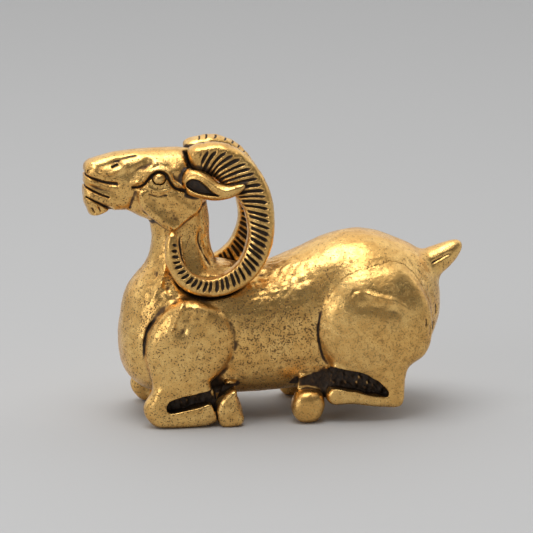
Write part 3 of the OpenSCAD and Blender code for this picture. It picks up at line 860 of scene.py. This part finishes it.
def model_horns():
    """The left horn, swept along its curl with its rings cut in, and its mirror image."""
    rings, sides = ((900, 84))
    at, arc = horn_path(rings)
    centre = np.stack([arc[:, 0], -arc[:, 1] * HORN_SPREAD, arc[:, 2]], axis=1)
    run = np.gradient(centre[:, (0, 2)], axis=0)
    run /= np.linalg.norm(run, axis=1, keepdims=True)
    out = np.stack([-run[:, 1], np.zeros(rings), run[:, 0]], axis=1)

    root_end, tip_end = (np.sqrt(1 - np.clip(1 - away / length, 0, 1) ** 2)
                         for away, length in ((at, ROOT_ROUNDING), (at[-1] - at, TIP_ROUNDING)))
    ends = np.maximum(root_end * tip_end, 0.02)
    wide, thick = arc[:, 3] * ends, arc[:, 4] * HORN_HALF_THICKNESS * ends
    u, v = horn_section(sides)
    groove, nick, panel = horn_rings(at, u, v, wide)
    sunk = RING_DEPTH * groove + NICK_DEPTH * nick + panel
    sunk *= np.minimum(1, thick / 1.0)[:, None]

    girth = np.maximum(np.hypot(u, v), 1e-6)
    points = (centre[:, None, :] + out[:, None, :] * (u * wide[:, None] - sunk * (u / girth))[..., None]
              + np.array([0, 1, 0]) * (v * thick[:, None] - sunk * (v / girth))[..., None])
    points = points.reshape(-1, 3)
    uneven = ripples(points, 43, 0.6, 2.2)
    points = points + 0.010 * uneven[:, None] * (points - np.repeat(centre, sides, axis=0))
    inner_side = ramp(-v, -0.1, -0.6)
    patina_and_shade = (1.7 * np.maximum(groove, nick) + (2.0 + 1.2 * inner_side) * panel).ravel() + 0.08 * uneven
    # Painted shade on the horn where it lies close to the head and body
    patina_and_shade += 1.3 * outside_near(gap_to_body(points), 0.55)
    quads = tube_quads(rings, sides)
    for side, flip in (("left", 1), ("right", -1)):
        add_piece(f"brass_{side}_horn", f"{side}_horn", points * np.array([1, flip, 1]), quads, patina_and_shade)


model_body()
model_head()
model_ears()
model_horns()


# ---- Studio ----
def flat_material(name, colour, roughness):
    """A matt grey with a very slight cloudiness."""
    material = bpy.data.materials.new(name)
    material.use_nodes = True
    nodes, links = material.node_tree.nodes, material.node_tree.links
    shader = nodes["Principled BSDF"]
    shader.inputs["Roughness"].default_value = roughness
    noise = nodes.new("ShaderNodeTexNoise")
    noise.inputs["Scale"].default_value = 3.0
    tint = nodes.new("ShaderNodeMapRange")
    tint.inputs["To Min"].default_value = colour * 0.985
    tint.inputs["To Max"].default_value = colour * 1.015
    links.new(noise.outputs["Fac"], tint.inputs["Value"])
    links.new(tint.outputs[0], shader.inputs["Base Color"])
    return material


def add_floor():
    """A pale sheet that lies under the figure and runs on beyond the picture."""
    mesh = bpy.data.meshes.new("studio_sheet")
    points = [(x, y, 0.0) for y in (-1.2, 1.8) for x in (-1.8, 1.8)]
    mesh.from_pydata(points, [], [(0, 1, 3, 2)])
    sheet = bpy.data.objects.new("studio_sheet", mesh)
    sheet.data.materials.append(flat_material("studio_paper", 0.49, 0.8))
    bpy.context.scene.collection.objects.link(sheet)


LIGHT_TARGET = Vector((0, 0, 0.02))


def add_light(name, place, size, power):
    """A white softbox that points at the figure."""
    lamp = bpy.data.lights.new(name, "AREA")
    lamp.shape = "RECTANGLE"
    lamp.size, lamp.size_y = size
    lamp.energy = power
    holder = bpy.data.objects.new(name, lamp)
    bpy.context.scene.collection.objects.link(holder)
    holder.location = place
    aim = LIGHT_TARGET - Vector(place)
    holder.rotation_euler = aim.to_track_quat("-Z", "Y").to_euler()


# Brightness of the studio at each height z of a direction, in front of the figure and behind it
FRONT_LIGHT = [(-1.0, 0.25), (0.0, 0.55), (0.12, 0.50), (0.24, 0.15), (0.68, 0.12), (0.84, 0.25), (1.0, 1.00)]
BACK_LIGHT = [(-1.0, 0.20), (0.0, 0.35), (0.12, 0.70), (0.35, 0.95), (1.0, 1.00)]


def add_world():
    """What the brass reflects: pale overhead, behind and at eye level, and dark half-way up in front."""
    world = bpy.data.worlds.new("studio")
    bpy.context.scene.world = world
    world.use_nodes = True
    nodes, links = world.node_tree.nodes, world.node_tree.links
    split = nodes.new("ShaderNodeSeparateXYZ")
    links.new(nodes.new("ShaderNodeTexCoord").outputs["Generated"], split.inputs[0])

    def rescale(value, low, high):
        node = nodes.new("ShaderNodeMapRange")
        node.interpolation_type = "SMOOTHSTEP"
        node.inputs["From Min"].default_value = low
        node.inputs["From Max"].default_value = high
        links.new(value, node.inputs["Value"])
        return node.outputs[0]

    def levels(stops):
        height = nodes.new("ShaderNodeMapRange")
        height.inputs["From Min"].default_value = -1.0
        links.new(split.outputs["Z"], height.inputs["Value"])
        node = nodes.new("ShaderNodeValToRGB")
        links.new(height.outputs[0], node.inputs[0])
        elements = node.color_ramp.elements
        while len(elements) < len(stops):
            elements.new(0.5)
        for element, (z, level) in zip(elements, stops):
            element.position = (z + 1) / 2
            element.color = (level, level, level, 1)
        return node.outputs[0]

    mix = nodes.new("ShaderNodeMix")
    mix.data_type = "RGBA"
    colours = [socket for socket in mix.inputs if socket.type == "RGBA"]
    links.new(rescale(split.outputs["Y"], -0.25, 0.25), mix.inputs["Factor"])
    links.new(levels(FRONT_LIGHT), colours[0])
    links.new(levels(BACK_LIGHT), colours[1])
    result = [socket for socket in mix.outputs if socket.type == "RGBA"][0]
    links.new(result, nodes["Background"].inputs["Color"])


# The camera looks from the animal's left, a little from the front and a little from above
CAMERA_TURN, CAMERA_RISE = math.radians(-8), math.radians(13)
CAMERA_DISTANCE = 0.5
CAMERA_TARGET = np.array([-0.001, 0.0, 0.0213])
CAMERA_LENS = 234.0


def add_camera():
    level = math.cos(CAMERA_RISE)
    back = np.array([math.sin(CAMERA_TURN) * level, -math.cos(CAMERA_TURN) * level, math.sin(CAMERA_RISE)])
    right = np.array([math.cos(CAMERA_TURN), math.sin(CAMERA_TURN), 0])
    up = np.cross(back, right)
    camera = bpy.data.cameras.new("camera")
    camera.lens = CAMERA_LENS
    camera.sensor_width = 36.0
    camera.clip_start = 0.01
    holder = bpy.data.objects.new("camera", camera)
    bpy.context.scene.collection.objects.link(holder)
    pose = np.eye(4)
    pose[:3, 0], pose[:3, 1], pose[:3, 2] = right, up, back
    pose[:3, 3] = CAMERA_TARGET + CAMERA_DISTANCE * back
    holder.matrix_world = Matrix(pose.tolist())
    bpy.context.scene.camera = holder


add_floor()
add_light("top_softbox", (-0.08, -0.07, 0.58), (0.44, 0.32), 1.60)
add_light("left_fill", (-0.42, -0.30, 0.22), (0.26, 0.30), 0.55)
add_world()
add_camera()
bpy.context.scene.view_settings.view_transform = "Standard"
